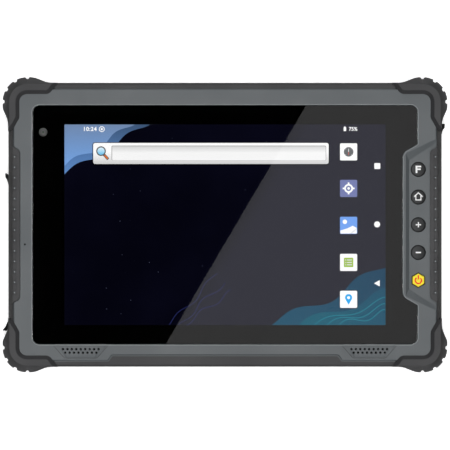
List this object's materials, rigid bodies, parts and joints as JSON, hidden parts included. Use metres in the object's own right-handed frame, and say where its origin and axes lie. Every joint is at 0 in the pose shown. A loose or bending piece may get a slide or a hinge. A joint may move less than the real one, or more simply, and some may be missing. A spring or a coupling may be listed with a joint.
{
  "type": "rugged tablet data collector",
  "caption": "Handheld field data collector: a rugged eight-inch tablet with rubber corner bumpers, side grips, a key column beside the screen, covered side ports and a latched battery.",
  "frame": {"origin": "under the middle of the four rear bumper feet, on the plane they stand on", "axes": "+X across the screen towards the keys, +Y up the screen towards its top edge, +Z out of the screen"},
  "size_m": [0.2388, 0.1584, 0.0226],
  "materials": {
    "bezel_grey": "fine matt texture",
    "housing_dark": "fine grain",
    "rail_rubber": "matt",
    "bumper_rubber": "matt",
    "cover_rubber": "matt",
    "clear_glass": "polished",
    "border_black": "printed black",
    "seal_foam": "matt",
    "display": "lit screen",
    "camera_black": "satin",
    "steel": "stamped",
    "key_dark": "satin",
    "key_yellow": "satin",
    "board_green": "solder mask",
    "cast_alloy": "as cast",
    "ceramic": "fired",
    "battery_case": "fine grain",
    "latch_grey": "satin",
    "lens_glass": "polished",
    "membrane": "woven",
    "screw_black": "black oxide",
    "brass": "turned",
    "gold": "gold plated"
  },
  "bodies": {
    "tablet": {"front_bezel": "bezel_grey", "rear_housing": "housing_dark", "top_rail": "rail_rubber", "bottom_rail": "rail_rubber", "side_grip_left": "rail_rubber", "side_grip_right": "rail_rubber", "bumper_top_left": "bumper_rubber", "bumper_top_right": "bumper_rubber", "bumper_bottom_left": "bumper_rubber", "bumper_bottom_right": "bumper_rubber", "cover_glass": "clear_glass", "glass_border": "border_black", "glass_adhesive": "seal_foam", "display_panel": "display", "backlight_unit": "steel", "front_camera": "camera_black", "microphone": "steel", "speakers": "camera_black", "speaker_meshes": "steel", "key_board": "board_green", "key_switches": "steel", "main_board": "board_green", "shield_cans": "steel", "heat_spreader": "cast_alloy", "gnss_antenna": "ceramic", "chassis_plate": "cast_alloy", "housing_gasket": "seal_foam", "battery_pack": "battery_case", "battery_seal": "seal_foam", "battery_connector": "camera_black", "cover_anchor_left": "cover_rubber", "cover_anchor_right": "cover_rubber", "card_tray": "steel", "rear_camera": "camera_black", "rear_camera_window": "lens_glass", "flash_lens": "lens_glass", "vent_membrane": "membrane", "housing_screws": "screw_black", "board_screws": "steel", "frame_screws": "steel", "strap_inserts": "brass", "dock_block": "camera_black", "dock_contacts": "gold", "usb_a_socket": "steel", "usb_c_socket": "steel", "hdmi_socket": "steel", "audio_socket": "steel", "power_socket": "steel", "card_socket": "steel"},
    "function_key": {"function_key": "key_dark"},
    "home_key": {"home_key": "key_dark"},
    "plus_key": {"plus_key": "key_dark"},
    "minus_key": {"minus_key": "key_dark"},
    "power_key": {"power_key": "key_yellow"},
    "cover_left_upper": {"port_cover_left_upper": "cover_rubber"},
    "cover_left_lower": {"port_cover_left_lower": "cover_rubber"},
    "cover_right": {"port_cover_right": "cover_rubber"},
    "latch_left": {"battery_latch_left": "latch_grey"},
    "latch_right": {"battery_latch_right": "latch_grey"}
  },
  "joints": [
    {"name": "function_press", "type": "slide", "parent": "tablet", "child": "function_key", "axis": [0, 0, -1], "range_m": [0, 0.0005], "stiffness_N_per_m": 3000},
    {"name": "home_press", "type": "slide", "parent": "tablet", "child": "home_key", "axis": [0, 0, -1], "range_m": [0, 0.0005], "stiffness_N_per_m": 3000},
    {"name": "plus_press", "type": "slide", "parent": "tablet", "child": "plus_key", "axis": [0, 0, -1], "range_m": [0, 0.0005], "stiffness_N_per_m": 3000},
    {"name": "minus_press", "type": "slide", "parent": "tablet", "child": "minus_key", "axis": [0, 0, -1], "range_m": [0, 0.0005], "stiffness_N_per_m": 3000},
    {"name": "power_press", "type": "slide", "parent": "tablet", "child": "power_key", "axis": [0, 0, -1], "range_m": [0, 0.0005], "stiffness_N_per_m": 3000},
    {"name": "cover_left_upper_hinge", "type": "hinge", "parent": "tablet", "child": "cover_left_upper", "pos_m": [-0.11625, -0.009, 0.0086], "axis": [0, 0, 1], "range_deg": [0, 90], "stiffness_Nm_per_rad": 0.002},
    {"name": "cover_left_lower_hinge", "type": "hinge", "parent": "tablet", "child": "cover_left_lower", "pos_m": [-0.11625, -0.015, 0.0086], "axis": [0, 0, -1], "range_deg": [0, 90], "stiffness_Nm_per_rad": 0.002},
    {"name": "cover_right_hinge", "type": "hinge", "parent": "tablet", "child": "cover_right", "pos_m": [0.11625, 0.012, 0.0086], "axis": [0, 0, -1], "range_deg": [0, 110], "stiffness_Nm_per_rad": 0.002},
    {"name": "latch_left_slide", "type": "slide", "parent": "tablet", "child": "latch_left", "axis": [0, 1, 0], "range_m": [0, 0.003], "stiffness_N_per_m": 300},
    {"name": "latch_right_slide", "type": "slide", "parent": "tablet", "child": "latch_right", "axis": [0, 1, 0], "range_m": [0, 0.003], "stiffness_N_per_m": 300}
  ]
}
